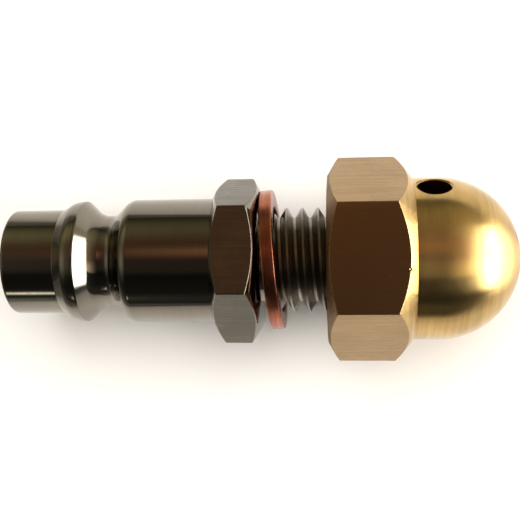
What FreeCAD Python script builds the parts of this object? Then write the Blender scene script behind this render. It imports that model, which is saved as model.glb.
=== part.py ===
"""Brake bleeder adapter: a quick-coupling plug with a threaded stub, its copper sealing washer
and the domed cap nut that clamps it to a reservoir cap. Millimetres.

The origin is the centre of the plug's tip end face. +X runs along the axis towards the dome
and +Z is up, with the adapter lying on a flat of the cap nut.
"""
import FreeCAD
import Part
import math
import os

# Thread shared by the stub and the cap nut, drawn as plain cylinders at its major diameter
THREAD_DIAMETER = 10.0
THREAD_PITCH = 1.5
THREAD_CORE_DEPTH = 0.92
THREAD_CLEARANCE = 0.05

# Coupling plug, turned from hexagon bar: the nose that goes into the socket
TIP_DIAMETER = 10.2
TIP_LENGTH = 5.15
TIP_EDGE_CHAMFER = 0.35
RIDGE_DIAMETER = 11.9
RIDGE_RAMP_DEG = 33.0
RIDGE_EASING_LENGTH = 0.4
RIDGE_EASING_RISE = 0.14
RIDGE_LAND_LENGTH = 0.79
RIDGE_LAND_RISE = 0.08
RIDGE_BACK_DEG = 45.0
NECK_DIAMETER = 8.95
NECK_LENGTH = 1.6
NECK_START_ROUND = 1.75
NECK_END_ROUND = 1.0
SHOULDER_DEG = 45.0
SHOULDER_ROUND = 1.2
BODY_DIAMETER = 12.0
BODY_LENGTH = 8.35

# Coupling plug: spanner hexagon
PLUG_ACROSS_FLATS = 14.0
PLUG_HEX_LENGTH = 4.2
PLUG_HEX_FACE_DIAMETER = 13.3
PLUG_HEX_CHAMFER_DEG = 30.0
PLUG_HEX_TURN_DEG = 7.3

# Coupling plug: threaded stub that goes through the reservoir cap
STUB_LENGTH = 14.0
STUB_END_CHAMFER = 0.9
UNDERCUT_LENGTH = 1.0

# Coupling plug: the passage through it
PLUG_BORE_DIAMETER = 7.2
PLUG_BORE_DEPTH = 17.0
STUB_BORE_DIAMETER = 5.8
DRILL_POINT_DEG = 118.0

# Copper sealing washer, lying loose on the stub and leaning on the hexagon
WASHER_DIAMETER = 13.5
WASHER_THICKNESS = 1.2
WASHER_EDGE_CHAMFER = 0.15
WASHER_BORE_CLEARANCE = 0.15
WASHER_LEAN_DEG = 4.7
WASHER_HANG_GAP = 0.03
WASHER_SEAT_GAP = 0.02

# Domed cap nut
NUT_ACROSS_FLATS = 17.0
NUT_HEX_LENGTH = 8.0
NUT_FACE_DIAMETER = 16.1
NUT_FACE_CHAMFER_DEG = 30.0
NUT_DOME_CHAMFER_DEG = 38.7
DOME_DIAMETER = 15.4
DOME_STRAIGHT_LENGTH = 2.3
NUT_TAPPED_DEPTH = 11.0
NUT_DRILLED_DEPTH = 13.0
NUT_COUNTERSINK = 0.45
NUT_TURNS_ON = 5

# Outlet hole drilled across the dome's base, in line with a flat of the hexagon
OUTLET_DIAMETER = 3.2
OUTLET_EDGE_GAP = 0.2
OUTLET_TURN_DEG = 60.0

# How far a chamfer's cutting cone runs past a hexagon's corners
CHAMFER_OVERREACH = 1.0


def slope_length(large_radius, small_radius, slope_deg):
    """How long a cone is along the axis between two radii."""
    return (large_radius - small_radius) / math.tan(math.radians(slope_deg))


# Radii that more than one feature uses
TIP_RADIUS = TIP_DIAMETER / 2
RIDGE_RADIUS = RIDGE_DIAMETER / 2
LAND_START_RADIUS = RIDGE_RADIUS - RIDGE_LAND_RISE
RAMP_END_RADIUS = LAND_START_RADIUS - RIDGE_EASING_RISE
NECK_RADIUS = NECK_DIAMETER / 2
BODY_RADIUS = BODY_DIAMETER / 2
THREAD_RADIUS = THREAD_DIAMETER / 2
CORE_RADIUS = THREAD_RADIUS - THREAD_CORE_DEPTH
TAPPED_RADIUS = THREAD_RADIUS + THREAD_CLEARANCE
DOME_RADIUS = DOME_DIAMETER / 2

# Stations along the axis
RAMP_END = TIP_LENGTH + slope_length(RAMP_END_RADIUS, TIP_RADIUS, RIDGE_RAMP_DEG)
LAND_START = RAMP_END + RIDGE_EASING_LENGTH
RIDGE_CREST = LAND_START + RIDGE_LAND_LENGTH
NECK_START = RIDGE_CREST + slope_length(RIDGE_RADIUS, NECK_RADIUS, RIDGE_BACK_DEG)
NECK_END = NECK_START + NECK_LENGTH
BODY_START = NECK_END + slope_length(BODY_RADIUS, NECK_RADIUS, SHOULDER_DEG)
PLUG_HEX_START = BODY_START + BODY_LENGTH
SEAT = PLUG_HEX_START + PLUG_HEX_LENGTH
STUB_END = SEAT + STUB_LENGTH
NUT_FACE = STUB_END - NUT_TURNS_ON * THREAD_PITCH
NUT_HEX_END = NUT_FACE + NUT_HEX_LENGTH
DOME_CENTRE = NUT_HEX_END + DOME_STRAIGHT_LENGTH
OUTLET_STATION = NUT_HEX_END + OUTLET_EDGE_GAP + OUTLET_DIAMETER / 2

AXIS = FreeCAD.Vector(1, 0, 0)
UP = FreeCAD.Vector(0, 0, 1)
ORIGIN = FreeCAD.Vector(0, 0, 0)


def point(station, radius):
    """A point of a turned profile: a distance along the axis and a radius."""
    return FreeCAD.Vector(station, 0, radius)


def corner_edges(before, corner, after, round_radius):
    """The start, middle and end of the arc that rounds one corner of a profile."""
    back = (before - corner).normalize()
    ahead = (after - corner).normalize()
    half_angle = back.getAngle(ahead) / 2
    along = round_radius / math.tan(half_angle)
    inward = (back + ahead).normalize()
    centre = corner + inward * (round_radius / math.sin(half_angle))
    return corner + back * along, centre - inward * round_radius, corner + ahead * along


def turned(corners):
    """A solid of revolution about the axis. Each corner is (station, radius, rounding radius)."""
    points = [point(station, radius) for station, radius, _ in corners]
    edges = []
    last = points[0]
    for index, (_, _, round_radius) in enumerate(corners):
        here = points[index]
        if round_radius:
            after = points[(index + 1) % len(points)]
            start, middle, end = corner_edges(points[index - 1], here, after, round_radius)
            edges.append(Part.LineSegment(last, start).toShape())
            edges.append(Part.Arc(start, middle, end).toShape())
            last = end
        elif index:
            edges.append(Part.LineSegment(last, here).toShape())
            last = here
    edges.append(Part.LineSegment(last, points[0]).toShape())
    return Part.Face(Part.Wire(edges)).revolve(ORIGIN, AXIS, 360)


def corner_radius(across_flats):
    """The radius of a hexagon's corners."""
    return across_flats / math.sqrt(3)


def hexagon_bar(across_flats, start, end, turn_deg):
    """Hexagon bar along the axis, with a flat's normal turned from +Z towards +Y."""
    corners = []
    for index in range(7):
        angle = math.radians(turn_deg + 30 + 60 * index)
        across = FreeCAD.Vector(0, math.sin(angle), math.cos(angle))
        corners.append(AXIS * start + across * corner_radius(across_flats))
    return Part.Face(Part.makePolygon(corners)).extrude(AXIS * (end - start))


def chamfer_run(across_flats, face_diameter, chamfer_deg):
    """How far a chamfer cone runs along the axis, and the radius that it reaches past the corners."""
    reach = corner_radius(across_flats) + CHAMFER_OVERREACH
    return (reach - face_diameter / 2) * math.tan(math.radians(chamfer_deg)), reach


def drill_point(radius):
    """The length of the cone that a drill leaves from a radius down to the axis."""
    return radius / math.tan(math.radians(DRILL_POINT_DEG / 2))


def plug_outline():
    """The plug's turned form, wider than the bar where the hexagon's flats stay."""
    hex_face = PLUG_HEX_FACE_DIAMETER / 2
    run, reach = chamfer_run(PLUG_ACROSS_FLATS, PLUG_HEX_FACE_DIAMETER, PLUG_HEX_CHAMFER_DEG)
    undercut_end = SEAT + UNDERCUT_LENGTH
    return [
        (0, 0, 0),
        (0, TIP_RADIUS - TIP_EDGE_CHAMFER, 0),
        (TIP_EDGE_CHAMFER, TIP_RADIUS, 0),
        (TIP_LENGTH, TIP_RADIUS, 0),
        (RAMP_END, RAMP_END_RADIUS, 0),
        (LAND_START, LAND_START_RADIUS, 0),
        (RIDGE_CREST, RIDGE_RADIUS, 0),
        (NECK_START, NECK_RADIUS, NECK_START_ROUND),
        (NECK_END, NECK_RADIUS, NECK_END_ROUND),
        (BODY_START, BODY_RADIUS, SHOULDER_ROUND),
        (PLUG_HEX_START, BODY_RADIUS, 0),
        (PLUG_HEX_START, hex_face, 0),
        (PLUG_HEX_START + run, reach, 0),
        (SEAT - run, reach, 0),
        (SEAT, hex_face, 0),
        (SEAT, CORE_RADIUS, 0),
        (undercut_end, CORE_RADIUS, 0),
        (undercut_end + THREAD_CORE_DEPTH, THREAD_RADIUS, 0),
        (STUB_END - STUB_END_CHAMFER, THREAD_RADIUS, 0),
        (STUB_END, THREAD_RADIUS - STUB_END_CHAMFER, 0),
        (STUB_END, 0, 0),
    ]


def plug_passage():
    """The bore drilled from the tip, the narrower one from the stub, and the cone between them."""
    wide = PLUG_BORE_DIAMETER / 2
    narrow = STUB_BORE_DIAMETER / 2
    cone_end = PLUG_BORE_DEPTH + drill_point(wide) - drill_point(narrow)
    return [
        (0, 0, 0),
        (0, wide, 0),
        (PLUG_BORE_DEPTH, wide, 0),
        (cone_end, narrow, 0),
        (STUB_END, narrow, 0),
        (STUB_END, 0, 0),
    ]


def coupling_plug():
    """The plug: hexagon bar turned down to the nose, body and stub, and drilled through."""
    bar = hexagon_bar(PLUG_ACROSS_FLATS, 0, STUB_END, PLUG_HEX_TURN_DEG)
    return bar.common(turned(plug_outline())).cut(turned(plug_passage()))


def sealing_washer():
    """The washer, hung on the top of the thread with its upper edge against the hexagon."""
    outer = WASHER_DIAMETER / 2
    inner = THREAD_RADIUS + WASHER_BORE_CLEARANCE
    half = WASHER_THICKNESS / 2
    ring = turned([
        (-half, inner, 0),
        (-half, outer - WASHER_EDGE_CHAMFER, 0),
        (WASHER_EDGE_CHAMFER - half, outer, 0),
        (half - WASHER_EDGE_CHAMFER, outer, 0),
        (half, outer - WASHER_EDGE_CHAMFER, 0),
        (half, inner, 0),
    ])
    lean = math.radians(WASHER_LEAN_DEG)
    station = SEAT + WASHER_SEAT_GAP + outer * math.sin(lean) + half * math.cos(lean)
    drop = WASHER_BORE_CLEARANCE - WASHER_HANG_GAP
    ring.rotate(ORIGIN, UP, WASHER_LEAN_DEG)
    ring.translate(FreeCAD.Vector(station, 0, -drop))
    return ring


def nut_outline():
    """The cap nut's turned form: chamfered hexagon, short straight collar and hemisphere."""
    face = NUT_FACE_DIAMETER / 2
    front_run, reach = chamfer_run(NUT_ACROSS_FLATS, NUT_FACE_DIAMETER, NUT_FACE_CHAMFER_DEG)
    back_run, reach = chamfer_run(NUT_ACROSS_FLATS, DOME_DIAMETER, NUT_DOME_CHAMFER_DEG)
    return [
        (NUT_FACE, 0, 0),
        (NUT_FACE, face, 0),
        (NUT_FACE + front_run, reach, 0),
        (NUT_HEX_END - back_run, reach, 0),
        (NUT_HEX_END, DOME_RADIUS, 0),
        (DOME_CENTRE, DOME_RADIUS, 0),
        (DOME_CENTRE, 0, 0),
    ]


def nut_bore():
    """The blind hole: countersink, tapped length, the drilled end and the drill's point."""
    drilled_end = NUT_FACE + NUT_DRILLED_DEPTH
    return [
        (NUT_FACE, 0, 0),
        (NUT_FACE, TAPPED_RADIUS + NUT_COUNTERSINK, 0),
        (NUT_FACE + NUT_COUNTERSINK, TAPPED_RADIUS, 0),
        (NUT_FACE + NUT_TAPPED_DEPTH, TAPPED_RADIUS, 0),
        (NUT_FACE + NUT_TAPPED_DEPTH, CORE_RADIUS, 0),
        (drilled_end, CORE_RADIUS, 0),
        (drilled_end + drill_point(CORE_RADIUS), 0, 0),
    ]


def outlet_hole():
    """The drill's path from the axis out through the dome's base."""
    angle = math.radians(OUTLET_TURN_DEG)
    outward = FreeCAD.Vector(0, math.sin(angle), math.cos(angle))
    return Part.makeCylinder(OUTLET_DIAMETER / 2, DOME_DIAMETER, AXIS * OUTLET_STATION, outward)


def domed_cap_nut():
    """The nut: hexagon bar turned to the dome, then bored, tapped and cross-drilled."""
    bar = hexagon_bar(NUT_ACROSS_FLATS, NUT_FACE, DOME_CENTRE, 0)
    collar = bar.common(turned(nut_outline()))
    dome = Part.makeSphere(DOME_RADIUS, AXIS * DOME_CENTRE, AXIS, 0, 90, 360)
    return collar.fuse(dome).removeSplitter().cut(turned(nut_bore())).cut(outlet_hole())


PIECES = {
    "coupling_plug": coupling_plug,
    "sealing_washer": sealing_washer,
    "domed_cap_nut": domed_cap_nut,
}


def main():
    """Builds each piece and writes it to its own STEP file."""
    os.makedirs("parts", exist_ok=True)
    for name, build in PIECES.items():
        shape = build()
        shape.exportStep(os.path.join("parts", name + ".step"))
        print(name, "volume", round(shape.Volume, 2), "solids", len(shape.Solids), "valid", shape.isValid())


main()
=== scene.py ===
"""Brake bleeder adapter, finished: a nickel-plated coupling plug, its copper washer and a brass cap nut.

Laid out as an add-on and run as a script. Lengths are metres in the frame of the solid model:
+X runs along the axis from the coupling tip to the dome, +Z is up, and the axis is at y = z = 0.
"""
import math

import bmesh
import bpy
from bpy.props import FloatProperty, FloatVectorProperty, PointerProperty
from bpy.types import Operator, Panel, PropertyGroup
from mathutils import Matrix, Vector


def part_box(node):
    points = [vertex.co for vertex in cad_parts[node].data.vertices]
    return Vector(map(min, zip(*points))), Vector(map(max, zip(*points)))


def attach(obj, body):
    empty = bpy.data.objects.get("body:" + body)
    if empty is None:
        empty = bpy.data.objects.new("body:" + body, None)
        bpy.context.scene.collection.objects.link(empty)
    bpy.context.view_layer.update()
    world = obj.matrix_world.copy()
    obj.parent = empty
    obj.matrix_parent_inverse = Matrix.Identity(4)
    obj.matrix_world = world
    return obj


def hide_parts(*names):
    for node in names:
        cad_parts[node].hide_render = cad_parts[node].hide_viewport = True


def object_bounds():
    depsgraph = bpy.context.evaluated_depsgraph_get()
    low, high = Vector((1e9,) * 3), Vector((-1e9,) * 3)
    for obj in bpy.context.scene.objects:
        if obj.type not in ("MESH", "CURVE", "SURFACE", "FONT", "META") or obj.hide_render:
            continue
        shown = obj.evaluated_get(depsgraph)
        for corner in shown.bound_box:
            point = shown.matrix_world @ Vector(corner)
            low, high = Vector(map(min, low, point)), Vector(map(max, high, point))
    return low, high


bl_info = {
    "name": "Brake bleeder adapter",
    "version": (1, 0, 0),
    "blender": (4, 5, 0),
    "location": "View3D > Sidebar > Adapter",
    "description": "Coupling plug, copper washer and domed cap nut, with their stage",
    "category": "Object",
}

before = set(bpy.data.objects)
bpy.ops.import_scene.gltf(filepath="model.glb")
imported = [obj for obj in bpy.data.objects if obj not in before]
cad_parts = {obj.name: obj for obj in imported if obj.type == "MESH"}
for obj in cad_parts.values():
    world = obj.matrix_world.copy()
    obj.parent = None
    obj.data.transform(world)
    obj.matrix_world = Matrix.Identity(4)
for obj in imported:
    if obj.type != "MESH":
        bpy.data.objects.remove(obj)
CAD_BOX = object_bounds()
PLUG_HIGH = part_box("coupling_plug")[1]
WASHER_LOW, WASHER_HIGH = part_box("sealing_washer")
NUT_LOW, NUT_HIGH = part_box("domed_cap_nut")

MM = 0.001
AXIS = Vector((1, 0, 0))
ORIGIN = Vector((0, 0, 0))
FULL_TURN = 2 * math.pi
# Points nearer than this are one point
WELD = 0.0005 * MM
# A ring at a thread's end lies this far under the thread, so that the two can be bridged
STEP = 0.03 * MM
# Facets round the axis: a multiple of 12, so that every hexagon corner falls on one
ROUND_STEPS = 192
# Facets of one turn of thread, and of the outlet
THREAD_STEPS = 96
OUTLET_STEPS = 96
# Open rings whose stations round to the same multiple of this are bridged
RING_SPAN = 0.3 * MM
# Edges sharper than this stay sharp in the shading
SHARP_EDGE = math.radians(35)
# How far the outlet's drill stands out of the dome
DRILL_REACH = 1.0 * MM
# Share of the dome's radius that its round takes. The weld closes what is left at the pole
DOME_SHARE = 0.999999
# Faces whose normal's x is under this belong to the cap nut's parted end
PARTED_FACING = -0.3
# Where each finish stands in its piece's list: the plug has the thread's and the nut the parted one
TURNED = 0
FLATS = 1
THREAD = 2
PARTED = 2


def linear(hex_value):
    """An sRGB hex colour as linear red, green and blue."""
    channels = [int(hex_value[place:place + 2], 16) / 255 for place in (1, 3, 5)]
    return [c / 12.92 if c <= 0.04045 else ((c + 0.055) / 1.055) ** 2.4 for c in channels]


def size(name, description, millimetres):
    """A length that a user may change."""
    return FloatProperty(
        name=name, description=description, default=millimetres * MM, min=0, unit="LENGTH", precision=5)


def angle(name, description, degrees):
    """An angle that a user may change."""
    return FloatProperty(
        name=name, description=description, default=math.radians(degrees), subtype="ANGLE")


def colour(name, description, hex_value):
    """A colour that a user may change."""
    return FloatVectorProperty(
        name=name, description=description, default=linear(hex_value), subtype="COLOR", min=0, max=1)


class PlugSizes(PropertyGroup):
    """Sizes of the coupling plug, from the tip to the threaded stub."""
    tip_diameter: size("Tip diameter", "Nose that enters the socket's seal", 10.2)
    tip_length: size("Tip length", "From the end face to the foot of the locking ridge", 5.15)
    tip_edge: size("Tip edge", "Rounding of the tip's outer edge", 0.35)
    ramp_foot_round: size("Ramp foot round", "Hollow round where the ridge leaves the tip", 0.15)
    ridge_diameter: size("Ridge diameter", "Largest diameter of the locking ridge", 11.9)
    ridge_ramp: angle("Ridge ramp", "Slope of the ridge's front", 33.0)
    ramp_top_round: size("Ramp top round", "Rounding between the ramp and the easing", 0.8)
    ridge_easing_length: size("Easing length", "Where the ramp eases into the land", 0.4)
    ridge_easing_rise: size("Easing rise", "Rise of the easing", 0.14)
    easing_end_round: size("Easing end round", "Rounding between the easing and the land", 1.2)
    ridge_land_length: size("Land length", "Nearly straight top of the ridge", 0.79)
    ridge_land_rise: size("Land rise", "Rise of the land to the crest", 0.08)
    crest_round: size("Crest round", "Worn round between the land and the slope behind it", 0.3)
    ridge_back: angle("Ridge back", "Slope behind the crest, where the socket's balls lock", 45.0)
    neck_diameter: size("Neck diameter", "Groove between ridge and body", 8.95)
    neck_length: size("Neck length", "Between the corners of the two slopes", 1.6)
    neck_start_round: size("Neck start round", "Hollow round at the ridge's side of the neck", 1.75)
    neck_end_round: size("Neck end round", "Hollow round at the body's side of the neck", 1.0)
    shoulder: angle("Shoulder", "Slope from the neck up to the body", 45.0)
    shoulder_round: size("Shoulder round", "Rounding of the body's front edge", 1.2)
    body_diameter: size("Body diameter", "Plain cylinder before the hexagon", 12.0)
    body_length: size("Body length", "From the shoulder's corner to the hexagon", 8.35)
    across_flats: size("Across flats", "Spanner size of the plug's hexagon", 14.0)
    hex_length: size("Hexagon length", "Along the axis", 4.2)
    hex_face: size("Hexagon face", "Diameter of the flat ring inside the chamfers", 13.3)
    hex_chamfer: angle("Hexagon chamfer", "Of the corners, from the end faces", 30.0)
    hex_turn: angle("Hexagon turn", "Of a flat from straight up, towards +Y", 7.3)
    hex_edge: size("Hexagon edge", "Rounding that plating and tumbling leave on the edges", 0.12)
    hex_root_round: size("Hexagon root round", "Hollow round between body and hexagon", 0.12)
    undercut_length: size("Undercut length", "Plain groove between the hexagon and the thread", 1.0)
    undercut_round: size("Undercut round", "Hollow round between hexagon and undercut", 0.2)
    end_chamfer: size("End chamfer", "At the stub's end", 0.9)
    bore_diameter: size("Bore diameter", "Bore drilled from the tip", 7.2)
    bore_depth: size("Bore depth", "Full-diameter depth of the bore from the tip", 17.0)
    bore_mouth: size("Bore mouth", "Chamfer of the bore at the tip", 0.3)
    bore_mouth_round: size("Bore mouth round", "Rounding between that chamfer and the end face", 0.1)
    stub_bore_diameter: size("Stub bore diameter", "Bore drilled from the stub", 5.8)
    stub_mouth: size("Stub mouth", "Chamfer of the bore at the stub's end", 0.2)
    drill_point: angle("Drill point", "Angle of the cone that a drill leaves", 118.0)


class ThreadSizes(PropertyGroup):
    """Sizes of the screw thread that the stub and the cap nut share."""
    diameter: size("Diameter", "Major diameter of the stub's thread", 10.0)
    pitch: size("Pitch", "Advance in one turn", 1.5)
    depth: size("Depth", "From crest to root on the stub", 0.92)
    clearance: size("Clearance", "Between the two threads, measured outwards", 0.05)
    nut_depth: size("Nut depth", "From root to crest in the nut", 0.86)
    start: size("Start", "How far the root lies past the stub's end, straight up", 0.14)


class WasherSizes(PropertyGroup):
    """Sizes of the copper washer that leans on the plug's hexagon."""
    diameter: size("Diameter", "Outer diameter", (WASHER_HIGH.z - WASHER_LOW.z) / MM)
    thickness: size("Thickness", "Of the ring", 1.2)
    bore: size("Bore", "Inner diameter", 10.3)
    edge: size("Edge", "Rounding of the four edges", 0.16)
    lean: angle("Lean", "Turn about the upright, away from square", 4.7)


class NutSizes(PropertyGroup):
    """Sizes of the domed cap nut."""
    across_flats: size("Across flats", "Spanner size", (NUT_HIGH.z - NUT_LOW.z) / MM)
    hex_length: size("Hexagon length", "Along the axis", 8.0)
    hex_edge: size("Hexagon edge", "Rounding of the hexagon's edges", 0.12)
    face_diameter: size("Face diameter", "Flat ring inside the chamfer of the open end", 16.1)
    face_chamfer: angle("Face chamfer", "Of the corners at the open end", 30.0)
    dome_chamfer: angle("Dome chamfer", "Of the corners at the dome's end", 38.7)
    dome_diameter: size("Dome diameter", "Of the collar and the hemisphere", 15.4)
    tapped_depth: size("Tapped depth", "Of the nut's thread", 11.0)
    drilled_depth: size("Drilled depth", "Full-diameter depth of the hole under the thread", 13.0)
    countersink: size("Countersink", "At the mouth of the thread", 0.45)
    outlet_diameter: size("Outlet diameter", "Cross hole at the dome's base", 3.2)
    outlet_gap: size("Outlet gap", "Between the hexagon's end and the outlet", 0.2)
    outlet_turn: angle("Outlet turn", "Of the outlet from straight up, towards +Y", 60.0)
    outlet_edge: size("Outlet edge", "Broken edge round the outlet", 0.1)
    dent_offset: size("Dent offset", "Of the dent in the top flat's edge, towards -Y", 1.0)
    dent_radius: size("Dent radius", "Of the round that dents the edge", 0.16)


class FinishColours(PropertyGroup):
    """Colours of the finishes."""
    # Darker than real nickel plate: painted shade that stands in for the dim floor round the adapter, which
    # its sides reflect
    nickel: colour("Nickel", "Dark bright nickel plate on turned faces", "#827D73")
    satin_nickel: colour("Satin nickel", "Nickel plate over the drawn flats", "#6D6960")
    # Lighter than the nickel elsewhere: painted light that stands in for light bouncing between the
    # thread's flanks
    thread_nickel_painted_light: colour("Thread nickel", "Nickel plate over the cut thread", "#918B80")
    turned_brass: colour("Turned brass", "Polished dome and chamfer", "#C7A76B")
    drawn_brass: colour("Drawn brass", "Flats of the bar", "#A28760")
    rough_brass: colour("Rough brass", "Parted end face and its chamfer", "#8F7350")
    copper: colour("Copper", "Annealed washer", "#B36C52")


class StageSettings(PropertyGroup):
    """Floor, lights and camera."""
    floor_radius: size("Floor radius", "Of the pale floor", 2000.0)
    floor_colour: colour("Floor colour", "White laminate near the adapter", "#F3F1EE")
    # Painted shade: the floor's colour darkens past the tip, standing in for light that falls off away from
    # a lamp
    far_floor_painted_shade: colour("Far floor colour", "The same past the tip, where less light falls", "#86837F")
    painted_shade_start: size("Dim start", "How far past the tip the floor begins to darken", 4.0)
    painted_shade_end: size("Dim end", "How far past the tip it is darkest", 34.0)
    top_light: FloatProperty(
        name="Top light", description="Soft light over the floor", default=2.7, unit="POWER")
    top_light_size: size("Top light size", "Side of the square soft light", 500.0)
    top_light_height: size("Top light height", "Over the adapter", 450.0)
    top_light_offset: size("Top light offset", "Towards +Y, so that the shadow falls towards -Y", 160.0)
    window_glow: FloatProperty(
        name="Window", description="Brightness of the window beyond the dome", default=11.0)
    camera_target: size("Camera target", "Point of the axis in the middle of the picture", 24.324)
    camera_offset: size("Camera offset", "Of that point towards -Y", 0.021)
    camera_distance: size("Camera distance", "From the target to the lens", 84.98)
    camera_lean: angle("Camera lean", "Of the line of sight towards the dome", 5.853)
    camera_tilt: angle("Camera tilt", "Of the line of sight towards -Y", 0.455)
    camera_roll: angle("Camera roll", "About the line of sight", -0.464)
    camera_lens: FloatProperty(name="Lens", description="Focal length", default=60.4, unit="CAMERA")


class AdapterSettings(PropertyGroup):
    """All settings of the adapter."""
    plug: PointerProperty(type=PlugSizes)
    thread: PointerProperty(type=ThreadSizes)
    washer: PointerProperty(type=WasherSizes)
    nut: PointerProperty(type=NutSizes)
    colours: PointerProperty(type=FinishColours)
    stage: PointerProperty(type=StageSettings)


def across(turn):
    """The direction square to the axis at an angle from straight up, towards +Y."""
    return Vector((0, math.sin(turn), math.cos(turn)))


def corner(station, radius, rounding=0.0, segments=4):
    """A corner of a half section: its place, the radius that rounds it, and the facets of the round."""
    return {"at": (station, radius), "rounding": rounding, "segments": segments}


def draw_section(bm, corners, turn):
    """Draws a half section as a wire at an angle round the axis, and rounds its corners."""
    outward = across(turn)
    points = [AXIS * c["at"][0] + outward * c["at"][1] for c in corners]
    verts = [bm.verts.new(point) for point in points]
    for first, second in zip(verts, verts[1:]):
        bm.edges.new((first, second))
    for index, c in enumerate(corners):
        if not c["rounding"]:
            continue
        back = points[index - 1] - points[index]
        ahead = points[index + 1] - points[index]
        tangent = c["rounding"] / math.tan(back.angle(ahead) / 2)
        bmesh.ops.bevel(
            bm, geom=[verts[index]], offset=tangent, offset_type="OFFSET", segments=c["segments"],
            profile=0.5, affect="VERTICES", material=-1)


def spin_section(bm, steps):
    """Spins everything that is drawn a full turn round the axis."""
    bmesh.ops.spin(
        bm, geom=bm.verts[:] + bm.edges[:], cent=ORIGIN, axis=AXIS, angle=FULL_TURN, steps=steps,
        use_merge=True, use_duplicate=False)
    bmesh.ops.remove_doubles(bm, verts=bm.verts[:], dist=WELD)


def chamfer_run(across_flats, face_diameter, slope):
    """How far a chamfer runs along the axis, from its end face to the hexagon's corners."""
    return (across_flats / math.sqrt(3) - face_diameter / 2) * math.tan(slope)


def shape_hexagon(bm, ends, across_flats, turn, edge_round, material_index):
    """Turns the round stretch between two chamfered ends into a hexagon.

    The section is drawn at a corner. Elsewhere the bar is thinner, so its surface and the rounds at
    its ends slide down the two chamfers to the flats. Each end is a station, a face radius and a slope.
    """
    corner_radius = across_flats / math.sqrt(3)
    middle = (ends[0][0] + ends[1][0]) / 2
    sixth = FULL_TURN / 6
    step = FULL_TURN / ROUND_STEPS
    # The columns beside a corner close in on it, where its round begins
    half_round = edge_round * math.tan(sixth / 2) / corner_radius
    moved = set()
    for v in bm.verts:
        radius = math.hypot(v.co.y, v.co.z)
        station, face, slope = ends[0] if v.co.x < middle else ends[1]
        inside = ends[0][0] - WELD < v.co.x < ends[1][0] + WELD
        if not inside or radius < face + WELD:
            continue
        place = math.atan2(v.co.y, v.co.z) - turn
        nearest = round((place - sixth / 2) / sixth) * sixth + sixth / 2
        from_corner = place - nearest
        limit = across_flats / 2 / math.cos(sixth / 2 - abs(from_corner))
        if abs(from_corner) < step / 2:
            limit = corner_radius - edge_round * (1 / math.cos(sixth / 2) - 1)
        elif abs(from_corner) < step * 1.5:
            from_corner = math.copysign(half_round, from_corner)
            limit = across_flats / 2 / math.cos(sixth / 2 - half_round)
        drop = corner_radius - limit
        slide = math.copysign(drop * math.tan(slope), station - middle)
        outward = across(nearest + from_corner + turn)
        v.co = AXIS * (v.co.x + slide) + outward * (radius - drop)
        moved.add(v)
    for face in bm.faces:
        if all(v in moved for v in face.verts):
            face.material_index = material_index


def thread_profile(pitch, large, small):
    """One pitch of a 60 degree thread: places along the pitch and radii, from root to root.

    Its crest is flat for an eighth of the pitch.
    """
    crest_half = pitch / 8 / 2
    flank_run = (large - small) * math.tan(math.radians(60 / 2))
    rise = pitch / 2 - crest_half - flank_run
    flank_steps = 4
    rising = [
        (rise + flank_run * step / flank_steps, small + (large - small) * step / flank_steps)
        for step in range(flank_steps + 1)
    ]
    falling = [(pitch - along, radius) for along, radius in reversed(rising)]
    return [(0, small)] + rising + [(pitch / 2, large)] + falling + [(pitch, small)]


def cut_thread(bm, profile, pitch, start, end, root_station, limit, material_index):
    """Winds a right-hand thread as an open tube between two stations.

    limit gives the radius that a chamfer or run-out allows at a station and a radius.
    """
    # The winding starts and ends past both stations, where the two cuts trim it
    turns = math.ceil((end - start) / pitch) + 2
    first = root_station - (math.ceil((root_station - start) / pitch) + 1) * pitch
    winding = bmesh.new()
    outward = across(0)
    verts = [winding.verts.new(AXIS * (first + along) + outward * radius) for along, radius in profile]
    edges = [winding.edges.new(pair) for pair in zip(verts, verts[1:])]
    bmesh.ops.spin(
        winding, geom=verts + edges, cent=ORIGIN, axis=AXIS, dvec=AXIS * pitch / THREAD_STEPS,
        angle=FULL_TURN, steps=THREAD_STEPS, use_merge=False, use_duplicate=False)
    one_turn = winding.verts[:] + winding.edges[:] + winding.faces[:]
    for turn in range(1, turns):
        copy = bmesh.ops.duplicate(winding, geom=one_turn)
        copied = [item for item in copy["geom"] if isinstance(item, bmesh.types.BMVert)]
        bmesh.ops.translate(winding, vec=AXIS * pitch * turn, verts=copied)
    bmesh.ops.remove_doubles(winding, verts=winding.verts[:], dist=WELD)
    for station, side in ((start, -AXIS), (end, AXIS)):
        bmesh.ops.bisect_plane(
            winding, geom=winding.verts[:] + winding.edges[:] + winding.faces[:], dist=WELD,
            plane_co=AXIS * station, plane_no=side, clear_outer=True)
    for v in winding.verts:
        radius = math.hypot(v.co.y, v.co.z)
        wanted = limit(v.co.x, radius)
        v.co.y *= wanted / radius
        v.co.z *= wanted / radius
    for face in winding.faces:
        face.material_index = material_index
    mesh = bpy.data.meshes.new("winding")
    winding.to_mesh(mesh)
    winding.free()
    bm.from_mesh(mesh)
    bpy.data.meshes.remove(mesh)


def join_open_rings(bm):
    """Bridges the open rings that lie at the same station, and turns all faces outwards."""
    rings = {}
    for edge in bm.edges:
        if edge.is_boundary:
            rings.setdefault(round(edge.verts[0].co.x / RING_SPAN), []).append(edge)
    for edges in rings.values():
        bmesh.ops.bridge_loops(bm, edges=edges)
    bmesh.ops.recalc_face_normals(bm, faces=bm.faces[:])


def finish_piece(bm, name, body, materials):
    """Makes the mesh an object that stands for its solid and rides on its body."""
    mesh = bpy.data.meshes.new(name)
    bm.to_mesh(mesh)
    bm.free()
    mesh.shade_smooth()
    mesh.set_sharp_from_angle(angle=SHARP_EDGE)
    for material in materials:
        mesh.materials.append(material)
    piece = bpy.data.objects.new(name, mesh)
    bpy.context.scene.collection.objects.link(piece)
    weighted = piece.modifiers.new("Weighted normals", "WEIGHTED_NORMAL")
    weighted.keep_sharp = True
    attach(piece, body)
    return piece


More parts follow.
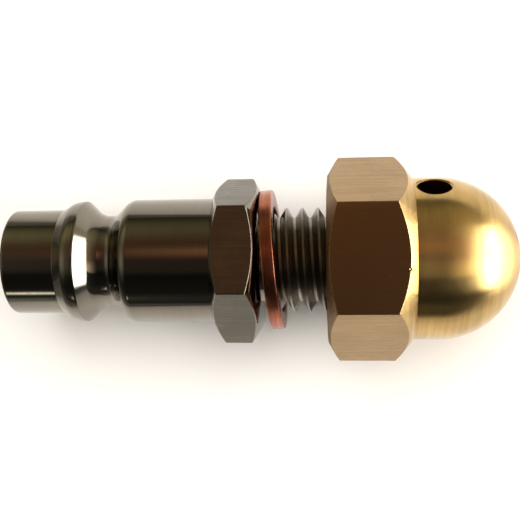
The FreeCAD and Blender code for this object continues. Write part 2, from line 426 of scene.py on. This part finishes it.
def add_node(tree, kind, settings, inputs):
    """Adds a node, sets its properties, and sets or links its inputs: a link is (node, output)."""
    node = tree.nodes.new(kind)
    for key, value in settings.items():
        setattr(node, key, value)
    for key, value in inputs.items():
        if isinstance(value, tuple) and isinstance(value[0], bpy.types.Node):
            tree.links.new(value[0].outputs[value[1]], node.inputs[key])
        else:
            node.inputs[key].default_value = value
    return node


def opaque(values):
    """A colour with full alpha."""
    return (*values, 1.0)


def darker(values, share):
    """A colour brought down to a share of its light."""
    return [value * share for value in values]


# Tool marks lie about 0.1 mm apart, too fine to show, so they are drawn as coarse as they need to show
FINE_MARKS = 0.25 * MM
COARSE_MARKS = 0.3 * MM
# Share to which the marks' pattern shrinks along them, which draws them out into lines
MARK_STRETCH = 0.03
# Handling marks and stains are about this large
STAIN_SIZE = 3.0 * MM
# The sum of both patterns where a finish has its worn tone, and where it has its own
TONE_RANGE = (0.75, 1.25)
# The shader counts the turn of a stretched highlight in whole turns
QUARTER_TURN = 0.25


def metal(name, base, worn_share, gloss, spacing, depth, anisotropy, lengthwise=False):
    """A metal with tool marks round the axis, or lengthwise, and stains between two tones.

    worn_share is the worn tone's share of the base, gloss is the roughness of the smoothest and of
    the dullest marks, and spacing and depth are the marks' own.
    """
    material = bpy.data.materials.new(name)
    material.use_nodes = True
    tree = material.node_tree
    tree.nodes.clear()
    place = add_node(tree, "ShaderNodeTexCoord", {}, {})
    stretch = (MARK_STRETCH, 1.0, 1.0) if lengthwise else (1.0, MARK_STRETCH, MARK_STRETCH)
    stretched = add_node(tree, "ShaderNodeMapping", {}, {"Vector": (place, "Object"), "Scale": stretch})
    lines = add_node(tree, "ShaderNodeTexNoise", {}, {
        "Vector": (stretched, "Vector"), "Scale": 1 / spacing, "Detail": 3.0, "Roughness": 0.6})
    stains = add_node(tree, "ShaderNodeTexNoise", {}, {
        "Vector": (place, "Object"), "Scale": 1 / STAIN_SIZE, "Detail": 5.0, "Roughness": 0.6})
    both = add_node(tree, "ShaderNodeMath", {"operation": "ADD"}, {0: (lines, "Fac"), 1: (stains, "Fac")})
    worn = add_node(tree, "ShaderNodeMapRange", {}, {
        "Value": (both, "Value"), "From Min": TONE_RANGE[0], "From Max": TONE_RANGE[1]})
    tint = add_node(tree, "ShaderNodeMix", {"data_type": "RGBA"}, {
        0: (worn, "Result"), 6: opaque(darker(base, worn_share)), 7: opaque(base)})
    dullness = add_node(tree, "ShaderNodeMapRange", {}, {
        "Value": (both, "Value"), "From Min": TONE_RANGE[0], "From Max": TONE_RANGE[1],
        "To Min": gloss[1], "To Max": gloss[0]})
    relief = add_node(tree, "ShaderNodeBump", {}, {
        "Height": (lines, "Fac"), "Distance": depth, "Strength": 1.0})
    # Light spreads across the marks: along the axis where they run round it
    across_marks = add_node(tree, "ShaderNodeCombineXYZ", {}, {"X": 1.0})
    shader = add_node(tree, "ShaderNodeBsdfPrincipled", {}, {
        "Base Color": (tint, 2), "Roughness": (dullness, "Result"), "Metallic": 1.0,
        "Anisotropic": anisotropy, "Anisotropic Rotation": QUARTER_TURN if lengthwise else 0.0,
        "Tangent": (across_marks, "Vector"), "Normal": (relief, "Normal")})
    add_node(tree, "ShaderNodeOutputMaterial", {}, {"Surface": (shader, "BSDF")})
    return material


def bright_nickel(colours):
    """Bright nickel plate over fine turning: a mirror that only softens what it shows, darkened by painted
    shade that stands in for the dim floor its sides reflect.
    """
    return metal(
        "Bright nickel plate", colours.nickel, worn_share=0.9, gloss=(0.06, 0.13),
        spacing=FINE_MARKS, depth=0.0008 * MM, anisotropy=0.5)


def satin_nickel(colours):
    """Nickel plate over the drawn flats of the bar: satin, so each flat has one tone."""
    return metal(
        "Satin nickel plate", colours.satin_nickel, worn_share=0.88, gloss=(0.24, 0.32),
        spacing=COARSE_MARKS, depth=0.0005 * MM, anisotropy=0.4, lengthwise=True)


def thread_nickel_painted_light(colours):
    """Nickel plate over the cut thread: duller, so that the flanks blur what they show. Its colour is
    lighter than the nickel elsewhere: painted light that stands in for light bouncing between the flanks.
    """
    return metal(
        "Nickel plate on cut thread", colours.thread_nickel_painted_light, worn_share=0.7, gloss=(0.26, 0.4),
        spacing=FINE_MARKS, depth=0.002 * MM, anisotropy=0.3)


def annealed_copper(colours):
    """Annealed copper, slightly tarnished: soft red gloss between a fresh and a brown tone."""
    return metal(
        "Annealed copper", colours.copper, worn_share=0.55, gloss=(0.2, 0.34),
        spacing=FINE_MARKS, depth=0.002 * MM, anisotropy=0.3)


def turned_brass(colours):
    """Brass polished on the lathe: the fine rings stretch each highlight along the axis."""
    return metal(
        "Turned brass", colours.turned_brass, worn_share=0.74, gloss=(0.18, 0.26),
        spacing=COARSE_MARKS, depth=0.008 * MM, anisotropy=0.95)


def drawn_brass(colours):
    """Drawn brass bar: satin flats with fine lines along the bar."""
    return metal(
        "Drawn brass bar", colours.drawn_brass, worn_share=0.86, gloss=(0.24, 0.3),
        spacing=COARSE_MARKS, depth=0.0014 * MM, anisotropy=0.4, lengthwise=True)


def rough_brass(colours):
    """Brass as the parting tool leaves it: matt and brownish."""
    return metal(
        "Parted brass", colours.rough_brass, worn_share=0.7, gloss=(0.45, 0.6),
        spacing=COARSE_MARKS, depth=0.006 * MM, anisotropy=0.3)


def plug_section(sizes, thread):
    """The plug's half section, from the stub's end through the bore and back to the undercut."""
    tip = sizes.tip_diameter / 2
    ridge = sizes.ridge_diameter / 2
    land_start = ridge - sizes.ridge_land_rise
    ramp_top = land_start - sizes.ridge_easing_rise
    neck = sizes.neck_diameter / 2
    body = sizes.body_diameter / 2
    wide = sizes.bore_diameter / 2
    narrow = sizes.stub_bore_diameter / 2
    core = thread.diameter / 2 - thread.depth
    stub_end = PLUG_HIGH.x
    ramp_end = sizes.tip_length + (ramp_top - tip) / math.tan(sizes.ridge_ramp)
    easing_end = ramp_end + sizes.ridge_easing_length
    crest = easing_end + sizes.ridge_land_length
    neck_start = crest + (ridge - neck) / math.tan(sizes.ridge_back)
    neck_end = neck_start + sizes.neck_length
    body_start = neck_end + (body - neck) / math.tan(sizes.shoulder)
    hex_start = body_start + sizes.body_length
    seat = hex_start + sizes.hex_length
    face = sizes.hex_face / 2
    hex_corner = sizes.across_flats / math.sqrt(3)
    run = chamfer_run(sizes.across_flats, sizes.hex_face, sizes.hex_chamfer)
    cone_end = sizes.bore_depth + (wide - narrow) / math.tan(sizes.drill_point / 2)
    corners = [
        corner(stub_end, narrow + sizes.stub_mouth),
        corner(stub_end - sizes.stub_mouth, narrow),
        corner(cone_end, narrow),
        corner(sizes.bore_depth, wide),
        corner(sizes.bore_mouth, wide),
        corner(0, wide + sizes.bore_mouth, sizes.bore_mouth_round, 2),
        corner(0, tip, sizes.tip_edge, 6),
        corner(sizes.tip_length, tip, sizes.ramp_foot_round, 2),
        corner(ramp_end, ramp_top, sizes.ramp_top_round, 4),
        corner(easing_end, land_start, sizes.easing_end_round, 3),
        corner(crest, ridge, sizes.crest_round, 8),
        corner(neck_start, neck, sizes.neck_start_round, 12),
        corner(neck_end, neck, sizes.neck_end_round, 10),
        corner(body_start, body, sizes.shoulder_round, 12),
        corner(hex_start, body, sizes.hex_root_round, 3),
        corner(hex_start, face),
        corner(hex_start + run, hex_corner, sizes.hex_edge, 2),
        corner(seat - run, hex_corner, sizes.hex_edge, 2),
        corner(seat, face),
        corner(seat, core - STEP, sizes.undercut_round, 3),
        corner(seat + sizes.undercut_length, core - STEP),
    ]
    return corners, hex_start, seat


class ADAPTER_OT_coupling_plug(Operator):
    """Models the nickel-plated plug: nose, ridge, neck, body, hexagon and threaded stub"""
    bl_idname = "adapter.coupling_plug"
    bl_label = "Coupling plug"

    def execute(self, context):
        settings = context.scene.bleeder_adapter
        sizes = settings.plug
        thread = settings.thread
        crest = thread.diameter / 2
        core = crest - thread.depth
        stub_end = PLUG_HIGH.x
        bm = bmesh.new()
        corners, hex_start, seat = plug_section(sizes, thread)
        draw_section(bm, corners, sizes.hex_turn)
        spin_section(bm, ROUND_STEPS)
        ends = [(station, sizes.hex_face / 2, sizes.hex_chamfer) for station in (hex_start, seat)]
        shape_hexagon(bm, ends, sizes.across_flats, sizes.hex_turn, sizes.hex_edge, FLATS)
        run_out = seat + sizes.undercut_length

        def limit(station, radius):
            """The run-out beside the undercut and the chamfer at the end."""
            end_slope = (crest - core) / sizes.end_chamfer
            allowed = min(core + station - run_out, core + (stub_end - station) * end_slope)
            return min(radius, max(core, allowed))

        profile = thread_profile(thread.pitch, crest, core)
        root_station = stub_end + thread.start
        cut_thread(bm, profile, thread.pitch, run_out, stub_end, root_station, limit, THREAD)
        join_open_rings(bm)
        colours = settings.colours
        finishes = [bright_nickel(colours), satin_nickel(colours), thread_nickel_painted_light(colours)]
        piece = finish_piece(bm, "coupling_plug_finished", "plug", finishes)
        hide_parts("coupling_plug")
        return {"FINISHED"}


class ADAPTER_OT_sealing_washer(Operator):
    """Models the copper washer that hangs on the stub and leans on the hexagon"""
    bl_idname = "adapter.sealing_washer"
    bl_label = "Sealing washer"

    def execute(self, context):
        settings = context.scene.bleeder_adapter
        sizes = settings.washer
        half = sizes.thickness / 2
        inner = sizes.bore / 2
        outer = sizes.diameter / 2
        middle = (inner + outer) / 2
        bm = bmesh.new()
        corners = [
            corner(-half, middle),
            corner(-half, outer, sizes.edge, 4),
            corner(half, outer, sizes.edge, 4),
            corner(half, inner, sizes.edge, 3),
            corner(-half, inner, sizes.edge, 3),
            corner(-half, middle),
        ]
        draw_section(bm, corners, 0)
        spin_section(bm, ROUND_STEPS)
        bmesh.ops.recalc_face_normals(bm, faces=bm.faces[:])
        centre = (WASHER_LOW + WASHER_HIGH) / 2
        bm.transform(Matrix.Translation(centre) @ Matrix.Rotation(sizes.lean, 4, "Z"))
        finishes = [annealed_copper(settings.colours)]
        piece = finish_piece(bm, "sealing_washer_finished", "plug", finishes)
        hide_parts("sealing_washer")
        return {"FINISHED"}


def nut_outer_section(sizes):
    """The cap nut's outside, from the mouth of the thread to the top of the dome."""
    face = NUT_LOW.x
    dome = sizes.dome_diameter / 2
    hex_end = face + sizes.hex_length
    hex_corner = sizes.across_flats / math.sqrt(3)
    front = chamfer_run(sizes.across_flats, sizes.face_diameter, sizes.face_chamfer)
    back = chamfer_run(sizes.across_flats, sizes.dome_diameter, sizes.dome_chamfer)
    return [
        corner(face, sizes.face_diameter / 2),
        corner(face + front, hex_corner, sizes.hex_edge, 2),
        corner(hex_end - back, hex_corner, sizes.hex_edge, 2),
        corner(hex_end, dome),
        corner(NUT_HIGH.x, dome, dome * DOME_SHARE, 40),
        corner(NUT_HIGH.x, 0),
    ]


def outlet_drill(sizes):
    """The outlet's drill, from inside the bore out of the dome. Its flare breaks the edge."""
    radius = sizes.outlet_diameter / 2
    surface = sizes.dome_diameter / 2
    # The edge lies lowest beside the hole, where the dome falls away round the axis
    lowest = math.sqrt(surface ** 2 - radius ** 2)
    broken = radius + sizes.outlet_edge
    top = surface + DRILL_REACH
    drill = bmesh.new()
    corners = [
        corner(0, 0),
        corner(0, radius),
        corner(lowest - sizes.outlet_edge, radius),
        corner(lowest, broken),
        corner(top, broken),
        corner(top, 0),
    ]
    draw_section(drill, corners, 0)
    spin_section(drill, OUTLET_STEPS)
    bmesh.ops.recalc_face_normals(drill, faces=drill.faces[:])
    turn = AXIS.rotation_difference(across(sizes.outlet_turn)).to_matrix().to_4x4()
    station = NUT_LOW.x + sizes.hex_length + sizes.outlet_gap + radius
    drill.transform(Matrix.Translation(AXIS * station) @ turn)
    return drill


def add_dent(cutters, sizes):
    """Adds the round that dents the top flat's edge at the dome's side, as the real nut is dented."""
    flat = sizes.across_flats / 2
    from_axis = math.hypot(flat, sizes.dent_offset)
    chamfered = (from_axis - sizes.dome_diameter / 2) * math.tan(sizes.dome_chamfer)
    place = (NUT_LOW.x + sizes.hex_length - chamfered, -sizes.dent_offset, flat)
    bmesh.ops.create_icosphere(
        cutters, subdivisions=3, radius=sizes.dent_radius, matrix=Matrix.Translation(place))


def subtract(bm, cutters):
    """Cuts closed cutters out of a closed mesh, and frees them."""
    meshes = []
    for part in (bm, cutters):
        mesh = bpy.data.meshes.new("cut")
        part.to_mesh(mesh)
        meshes.append(mesh)
    cutters.free()
    body, tool = [bpy.data.objects.new("cut", mesh) for mesh in meshes]
    for item in (body, tool):
        bpy.context.scene.collection.objects.link(item)
    cut = body.modifiers.new("Cut", "BOOLEAN")
    cut.operation = "DIFFERENCE"
    cut.solver = "EXACT"
    cut.object = tool
    depsgraph = bpy.context.evaluated_depsgraph_get()
    result = bpy.data.meshes.new_from_object(body.evaluated_get(depsgraph))
    bm.clear()
    bm.from_mesh(result)
    for item in (body, tool):
        bpy.data.objects.remove(item)
    for mesh in meshes + [result]:
        bpy.data.meshes.remove(mesh)


class ADAPTER_OT_domed_cap_nut(Operator):
    """Models the brass cap nut: hexagon, dome, tapped blind hole and outlet"""
    bl_idname = "adapter.domed_cap_nut"
    bl_label = "Domed cap nut"

    def execute(self, context):
        settings = context.scene.bleeder_adapter
        sizes = settings.nut
        thread = settings.thread
        face = NUT_LOW.x
        root = thread.diameter / 2 + thread.clearance
        crest = root - thread.nut_depth
        tapped_end = face + sizes.tapped_depth
        drilled_end = face + sizes.drilled_depth
        bm = bmesh.new()
        draw_section(bm, nut_outer_section(sizes), 0)
        drilled = crest - STEP
        point_end = drilled_end + drilled / math.tan(settings.plug.drill_point / 2)
        hole = [corner(tapped_end, drilled), corner(drilled_end, drilled), corner(point_end, 0)]
        draw_section(bm, hole, 0)
        spin_section(bm, ROUND_STEPS)
        ends = [
            (face, sizes.face_diameter / 2, sizes.face_chamfer),
            (face + sizes.hex_length, sizes.dome_diameter / 2, sizes.dome_chamfer),
        ]
        shape_hexagon(bm, ends, sizes.across_flats, 0, sizes.hex_edge, FLATS)

        def limit(station, radius):
            """The countersink at the mouth and the tap's run-out at the bottom."""
            run_out = crest + (tapped_end - station)
            return max(min(radius, run_out), root + sizes.countersink - (station - face), crest)

        profile = thread_profile(thread.pitch, root, crest)
        root_station = PLUG_HIGH.x + thread.start
        cut_thread(bm, profile, thread.pitch, face, tapped_end, root_station, limit, TURNED)
        join_open_rings(bm)
        self.mark_parted_face(bm, root + sizes.countersink)
        cutters = outlet_drill(sizes)
        add_dent(cutters, sizes)
        subtract(bm, cutters)
        colours = settings.colours
        finishes = [turned_brass(colours), drawn_brass(colours), rough_brass(colours)]
        piece = finish_piece(bm, "domed_cap_nut_finished", "cap_nut", finishes)
        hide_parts("domed_cap_nut")
        return {"FINISHED"}

    def mark_parted_face(self, bm, mouth):
        """Gives the open end's face and chamfer their own finish."""
        for face in bm.faces:
            middle = face.calc_center_median()
            if face.normal.x < PARTED_FACING and math.hypot(middle.y, middle.z) > mouth:
                face.material_index = PARTED


# The floor lies this far under the adapter, so that no two faces share a plane
FLOOR_GAP = 0.01 * MM
FLOOR_STEPS = 96
FLOOR_ROUGHNESS = 0.25
# Light of the room's walls and ceiling, by degrees round the adapter's axis from the horizon at -Y
# over the top to the horizon at +Y
ROOM_LIGHT = (
    (0, (0.05, 0.05, 0.045)),
    (14, (0.07, 0.065, 0.055)),
    (28, (0.026, 0.026, 0.022)),
    (60, (0.013, 0.013, 0.012)),
    (72, (0.055, 0.045, 0.035)),
    (90, (0.065, 0.038, 0.034)),
    (110, (0.15, 0.076, 0.052)),
    (124, (0.15, 0.08, 0.043)),
    (148, (0.16, 0.13, 0.06)),
    (163, (0.115, 0.1, 0.047)),
    (180, (0.04, 0.037, 0.022)),
)
# The same for the wall round the window, which its own glow then shapes
WALL_LIGHT = (
    (0, (0.04, 0.045, 0.045)),
    (58, (0.04, 0.045, 0.045)),
    (63, (1.7, 1.4, 1.0)),
    (78, (1.5, 1.25, 0.9)),
    (92, (0.6, 0.38, 0.26)),
    (112, (0.5, 0.34, 0.22)),
    (150, (0.7, 0.6, 0.42)),
    (180, (1.1, 0.95, 0.7)),
)
# A glow is the direction that it comes from, how narrow it is, and its light
WALL_GLOW = ((0.966, 0, 0.259), 3.5, (1.5, 1.5, 1.5))
GLOWS = (
    # Two pale walls beyond the tip, which the ridge's front shows
    ((-0.788, 0, 0.616), 16.0, (0.4, 0.4, 0.3)),
    ((-0.6, 0.693, 0.4), 20.0, (0.38, 0.33, 0.18)),
    # A warm patch of the ceiling, which the top flat of the plug's hexagon shows
    ((-0.1, 0.26, 0.96), 90.0, (0.42, 0.21, 0.08)),
    # A pale wall at +Y, which that side of the dome shows
    ((0.35, 0.86, 0.37), 12.0, (0.24, 0.21, 0.14)),
    # A small lamp, which draws a bright line along the tip
    ((-0.356, -0.903, 0.242), 900.0, (3.0, 2.9, 2.4)),
)
# The pale horizon fades into the room between these heights of the direction looked in
HORIZON_FADE = (0.03, 0.055)
# Its share of the colour of the far floor's painted shade
HORIZON_SHARE = 0.9
# The window's oval as it is one metre ahead: half its width, half its height and its middle's height
WINDOW_HALF_WIDTH = 0.66
WINDOW_HALF_HEIGHT = 0.5
WINDOW_MIDDLE = 0.2
# The oval fades between these shares of its size
WINDOW_FADE = (0.85, 1.05)
WINDOW_TINT = (1.0, 0.98, 0.93)


class ADAPTER_OT_stage(Operator):
    """Sets up the pale floor, the room's light and the camera"""
    bl_idname = "adapter.stage"
    bl_label = "Stage"

    def execute(self, context):
        stage = context.scene.bleeder_adapter.stage
        self.lay_floor(stage)
        self.light_room(stage)
        self.hang_top_light(stage)
        self.place_camera(stage)
        context.scene.view_settings.view_transform = "Standard"
        return {"FINISHED"}

    def lay_floor(self, stage):
        """A round of white laminate under the adapter, with painted shade that darkens it past the tip, as
        if less light fell there.
        """
        bm = bmesh.new()
        bmesh.ops.create_circle(bm, cap_ends=True, segments=FLOOR_STEPS, radius=stage.floor_radius)
        bm.transform(Matrix.Translation((PLUG_HIGH.x, 0, CAD_BOX[0].z - FLOOR_GAP)))
        mesh = bpy.data.meshes.new("floor")
        bm.to_mesh(mesh)
        bm.free()
        material = bpy.data.materials.new("White laminate")
        material.use_nodes = True
        tree = material.node_tree
        shader = tree.nodes["Principled BSDF"]
        place = add_node(tree, "ShaderNodeTexCoord", {}, {})
        parts = add_node(tree, "ShaderNodeSeparateXYZ", {}, {"Vector": (place, "Object")})
        # Painted shade: the floor's colour blends to a darker one past the tip, where less light would fall
        share = add_node(tree, "ShaderNodeMapRange", {"interpolation_type": "SMOOTHSTEP"}, {
            "Value": (parts, "X"), "From Min": -stage.painted_shade_start, "From Max": -stage.painted_shade_end})
        tone = add_node(tree, "ShaderNodeMix", {"data_type": "RGBA"}, {
            0: (share, "Result"), 6: opaque(stage.floor_colour), 7: opaque(stage.far_floor_painted_shade)})
        tree.links.new(tone.outputs[2], shader.inputs["Base Color"])
        shader.inputs["Roughness"].default_value = FLOOR_ROUGHNESS
        mesh.materials.append(material)
        floor = bpy.data.objects.new("floor", mesh)
        bpy.context.scene.collection.objects.link(floor)

    def light_room(self, stage):
        """A dim room with a pale horizon and a bright window beyond the dome."""
        world = bpy.data.worlds.new("Dim room")
        bpy.context.scene.world = world
        world.use_nodes = True
        tree = world.node_tree
        tree.nodes.clear()
        side = self.round_axis(tree)
        lit = self.room_sky(tree, stage, side)
        lights = [self.window(tree, stage), self.window_wall(tree, side)]
        for light in lights + [self.glow(tree, *glow) for glow in GLOWS]:
            total = add_node(tree, "ShaderNodeVectorMath", {"operation": "ADD"}, {0: lit, 1: light})
            lit = (total, "Vector")
        background = add_node(tree, "ShaderNodeBackground", {}, {"Color": lit, "Strength": 1.0})
        add_node(tree, "ShaderNodeOutputWorld", {}, {"Surface": (background, "Background")})

    def hang_top_light(self, stage):
        """A soft light over the floor, which faces the plug's middle and isn't seen in the metal."""
        aim = Vector((PLUG_HIGH.x / 2, 0, 0))
        lamp = bpy.data.lights.new("top_light", "AREA")
        lamp.size = stage.top_light_size
        lamp.energy = stage.top_light
        top = bpy.data.objects.new("top_light", lamp)
        bpy.context.scene.collection.objects.link(top)
        place = aim + Vector((0, stage.top_light_offset, stage.top_light_height))
        facing = (aim - place).to_track_quat("-Z", "Y").to_matrix().to_4x4()
        top.matrix_world = Matrix.Translation(place) @ facing
        top.visible_glossy = False

    def paint_ramp(self, ramp, lights):
        """Sets a ramp's stops, each an angle in degrees round the adapter's axis and a light."""
        stops = ramp.color_ramp.elements
        # A ramp comes with a stop at each end, and the others start at its far end
        while len(stops) < len(lights):
            stops.new(1.0)
        for stop, (degrees, light) in zip(stops, lights):
            stop.position = (1 - math.cos(math.radians(degrees))) / 2
            stop.color = opaque(light)

    def round_axis(self, tree):
        """How far towards +Y the direction looked in lies round the adapter's axis, from 0 to 1."""
        place = add_node(tree, "ShaderNodeTexCoord", {}, {})
        flat = add_node(tree, "ShaderNodeVectorMath", {"operation": "MULTIPLY"}, {
            0: (place, "Generated"), 1: (0, 1, 1)})
        unit = add_node(tree, "ShaderNodeVectorMath", {"operation": "NORMALIZE"}, {0: (flat, "Vector")})
        sideways = add_node(tree, "ShaderNodeSeparateXYZ", {}, {"Vector": (unit, "Vector")})
        side = add_node(tree, "ShaderNodeMapRange", {}, {
            "Value": (sideways, "Y"), "From Min": -1.0, "From Max": 1.0})
        return (side, "Result")

    def room_sky(self, tree, stage, side):
        """The room's walls and ceiling by their angle round the adapter's axis, over a pale horizon."""
        place = add_node(tree, "ShaderNodeTexCoord", {}, {})
        room = add_node(tree, "ShaderNodeValToRGB", {}, {"Fac": side})
        self.paint_ramp(room, ROOM_LIGHT)
        height = add_node(tree, "ShaderNodeSeparateXYZ", {}, {"Vector": (place, "Generated")})
        rim = add_node(tree, "ShaderNodeMapRange", {"interpolation_type": "SMOOTHSTEP"}, {
            "Value": (height, "Z"), "From Min": HORIZON_FADE[0], "From Max": HORIZON_FADE[1],
            "To Min": 1.0, "To Max": 0.0})
        pale = darker(stage.far_floor_painted_shade, HORIZON_SHARE)
        sky = add_node(tree, "ShaderNodeMix", {"data_type": "RGBA"}, {
            0: (rim, "Result"), 6: (room, "Color"), 7: opaque(pale)})
        return (sky, 2)

    def glow(self, tree, toward, narrowness, light):
        """A round glow in a direction, as a colour by the direction looked in."""
        place = add_node(tree, "ShaderNodeTexCoord", {}, {})
        cosine = add_node(tree, "ShaderNodeVectorMath", {"operation": "DOT_PRODUCT"}, {
            0: (place, "Generated"), 1: toward})
        facing = add_node(tree, "ShaderNodeMath", {"operation": "MAXIMUM"}, {0: (cosine, "Value"), 1: 0.0})
        level = add_node(tree, "ShaderNodeMath", {"operation": "POWER"}, {
            0: (facing, "Value"), 1: narrowness})
        scaled = add_node(tree, "ShaderNodeVectorMath", {"operation": "SCALE"}, {
            0: light, "Scale": (level, "Value")})
        return (scaled, "Vector")

    def window_wall(self, tree, side):
        """The wall round the window, lit by it, and dark below the edge on the -Y side."""
        wall = add_node(tree, "ShaderNodeValToRGB", {}, {"Fac": side})
        self.paint_ramp(wall, WALL_LIGHT)
        spread = self.glow(tree, *WALL_GLOW)
        shaped = add_node(tree, "ShaderNodeVectorMath", {"operation": "MULTIPLY"}, {
            0: (wall, "Color"), 1: spread})
        return (shaped, "Vector")

    def window(self, tree, stage):
        """The bright window beyond the dome, an oval with soft edges that rises from the horizon."""
        place = add_node(tree, "ShaderNodeTexCoord", {}, {})
        parts = add_node(tree, "ShaderNodeSeparateXYZ", {}, {"Vector": (place, "Generated")})
        x, y, z = [(parts, name) for name in "XYZ"]
        ahead = add_node(tree, "ShaderNodeMath", {"operation": "GREATER_THAN"}, {0: x, 1: 0.0})
        aside = add_node(tree, "ShaderNodeMath", {"operation": "DIVIDE"}, {0: y, 1: x})
        above = add_node(tree, "ShaderNodeMath", {"operation": "DIVIDE"}, {0: z, 1: x})
        wide = add_node(tree, "ShaderNodeMath", {"operation": "DIVIDE"}, {
            0: (aside, "Value"), 1: WINDOW_HALF_WIDTH})
        raised = add_node(tree, "ShaderNodeMath", {"operation": "SUBTRACT"}, {
            0: (above, "Value"), 1: WINDOW_MIDDLE})
        high = add_node(tree, "ShaderNodeMath", {"operation": "DIVIDE"}, {
            0: (raised, "Value"), 1: WINDOW_HALF_HEIGHT})
        oval = add_node(tree, "ShaderNodeCombineXYZ", {}, {"X": (wide, "Value"), "Y": (high, "Value")})
        reach = add_node(tree, "ShaderNodeVectorMath", {"operation": "LENGTH"}, {0: (oval, "Vector")})
        pane = add_node(tree, "ShaderNodeMapRange", {"interpolation_type": "SMOOTHSTEP"}, {
            "Value": (reach, "Value"), "From Min": WINDOW_FADE[0], "From Max": WINDOW_FADE[1],
            "To Min": stage.window_glow, "To Max": 0.0})
        # The division mirrors the oval behind, where nothing of it may show
        seen = add_node(tree, "ShaderNodeMath", {"operation": "MULTIPLY"}, {
            0: (pane, "Result"), 1: (ahead, "Value")})
        light = add_node(tree, "ShaderNodeVectorMath", {"operation": "SCALE"}, {
            0: WINDOW_TINT, "Scale": (seen, "Value")})
        return (light, "Vector")

    def place_camera(self, stage):
        """The camera at the photograph's viewing angle, looking down on the adapter."""
        turn = (
            Matrix.Rotation(stage.camera_lean, 3, "Y")
            @ Matrix.Rotation(stage.camera_tilt, 3, "X")
            @ Matrix.Rotation(stage.camera_roll, 3, "Z")
        )
        target = Vector((stage.camera_target, -stage.camera_offset, 0))
        camera = bpy.data.cameras.new("camera")
        camera.lens = stage.camera_lens
        camera.clip_start = 1 * MM
        item = bpy.data.objects.new("camera", camera)
        bpy.context.scene.collection.objects.link(item)
        place = target + turn.col[2] * stage.camera_distance
        item.matrix_world = Matrix.Translation(place) @ turn.to_4x4()
        bpy.context.scene.camera = item


class ADAPTER_PT_panel(Panel):
    """Lists the adapter's sizes and its operators in the sidebar"""
    bl_idname = "ADAPTER_PT_panel"
    bl_label = "Brake bleeder adapter"
    bl_space_type = "VIEW_3D"
    bl_region_type = "UI"
    bl_category = "Adapter"

    def draw(self, context):
        settings = context.scene.bleeder_adapter
        for operator in OPERATORS:
            self.layout.operator(operator.bl_idname)
        for group_name in settings.bl_rna.properties.keys():
            group = getattr(settings, group_name)
            if not isinstance(group, PropertyGroup):
                continue
            box = self.layout.box()
            for name in group.bl_rna.properties.keys():
                if name not in {"rna_type", "name"}:
                    box.prop(group, name)


GROUPS = (PlugSizes, ThreadSizes, WasherSizes, NutSizes, FinishColours, StageSettings, AdapterSettings)
OPERATORS = (
    ADAPTER_OT_coupling_plug, ADAPTER_OT_sealing_washer, ADAPTER_OT_domed_cap_nut, ADAPTER_OT_stage)
CLASSES = GROUPS + OPERATORS + (ADAPTER_PT_panel,)


def register():
    """Registers the classes and hangs the settings on the scene."""
    for item in CLASSES:
        bpy.utils.register_class(item)
    bpy.types.Scene.bleeder_adapter = PointerProperty(type=AdapterSettings)


def unregister():
    """Takes the settings and the classes away again."""
    del bpy.types.Scene.bleeder_adapter
    for item in reversed(CLASSES):
        bpy.utils.unregister_class(item)


def main():
    """Makes every piece and the stage."""
    register()
    for operator in OPERATORS:
        group, name = operator.bl_idname.split(".")
        getattr(getattr(bpy.ops, group), name)()


if __name__ == "__main__":
    main()
